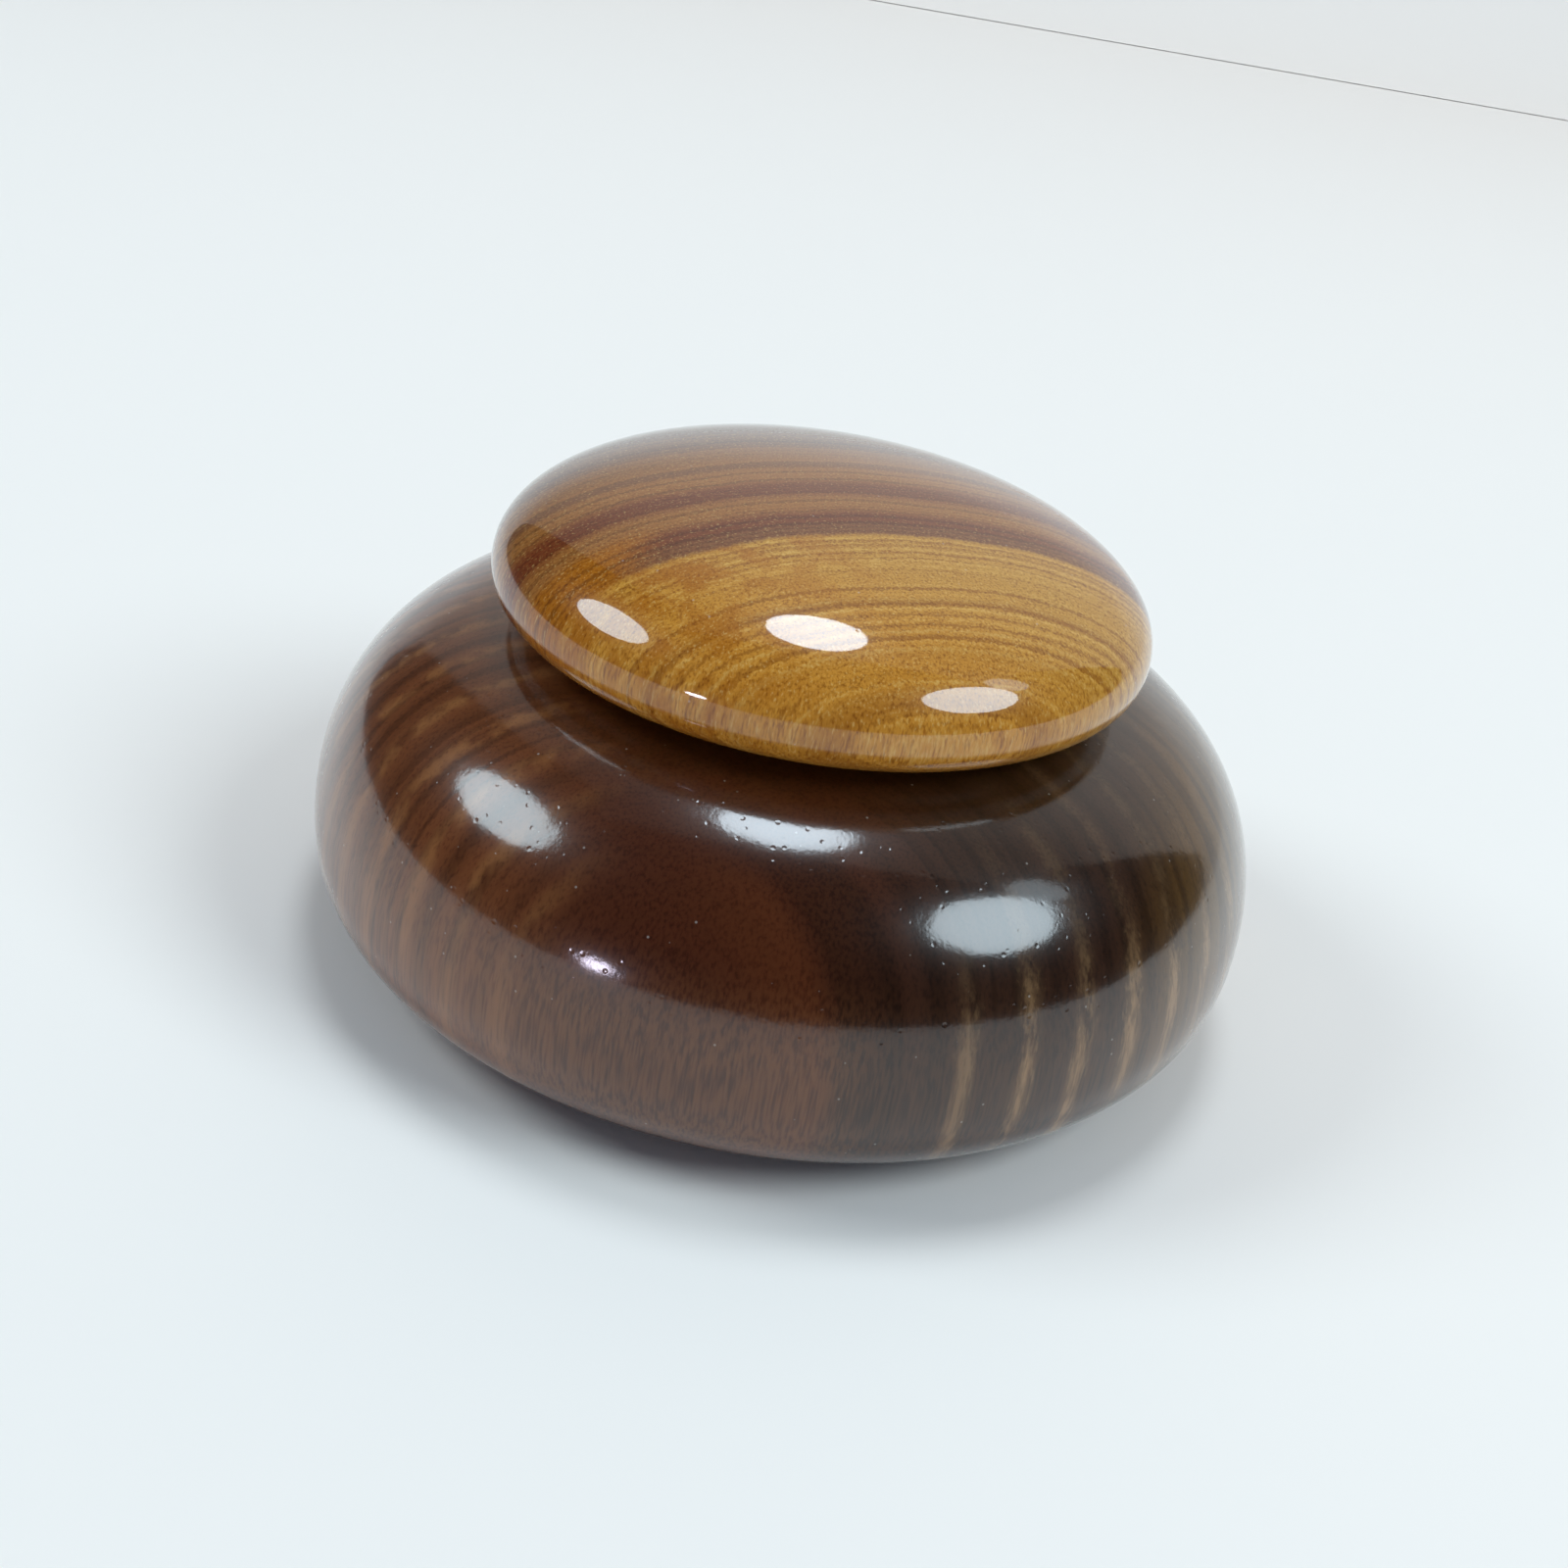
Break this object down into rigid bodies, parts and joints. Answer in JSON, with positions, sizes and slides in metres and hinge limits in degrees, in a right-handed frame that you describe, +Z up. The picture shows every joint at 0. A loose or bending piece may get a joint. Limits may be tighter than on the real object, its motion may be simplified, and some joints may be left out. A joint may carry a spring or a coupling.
{
  "type": "go stone bowl",
  "caption": "Squat round turned-wood bowl that holds the stones of a board game, with a lens-shaped wooden lid that rests loosely on its mouth and lifts off.",
  "frame": {"origin": "centre of the foot, on the surface that the bowl stands on", "axes": "+Z up along the turning axis of bowl and lid, +X to the right and -Y towards the side with the lid's pale sapwood"},
  "size_m": [0.15, 0.15, 0.0786],
  "materials": {
    "bowl_wood": "dark heartwood under clear gloss lacquer",
    "lid_wood": "golden sapwood and red-brown heartwood under clear gloss lacquer"
  },
  "bodies": {
    "bowl": {"bowl": "bowl_wood"},
    "lid": {"lid": "lid_wood"}
  },
  "joints": [
    {"name": "lid_lift", "type": "slide", "parent": "bowl", "child": "lid", "axis": [0, 0, 1], "range_m": [0, 0.08]}
  ]
}
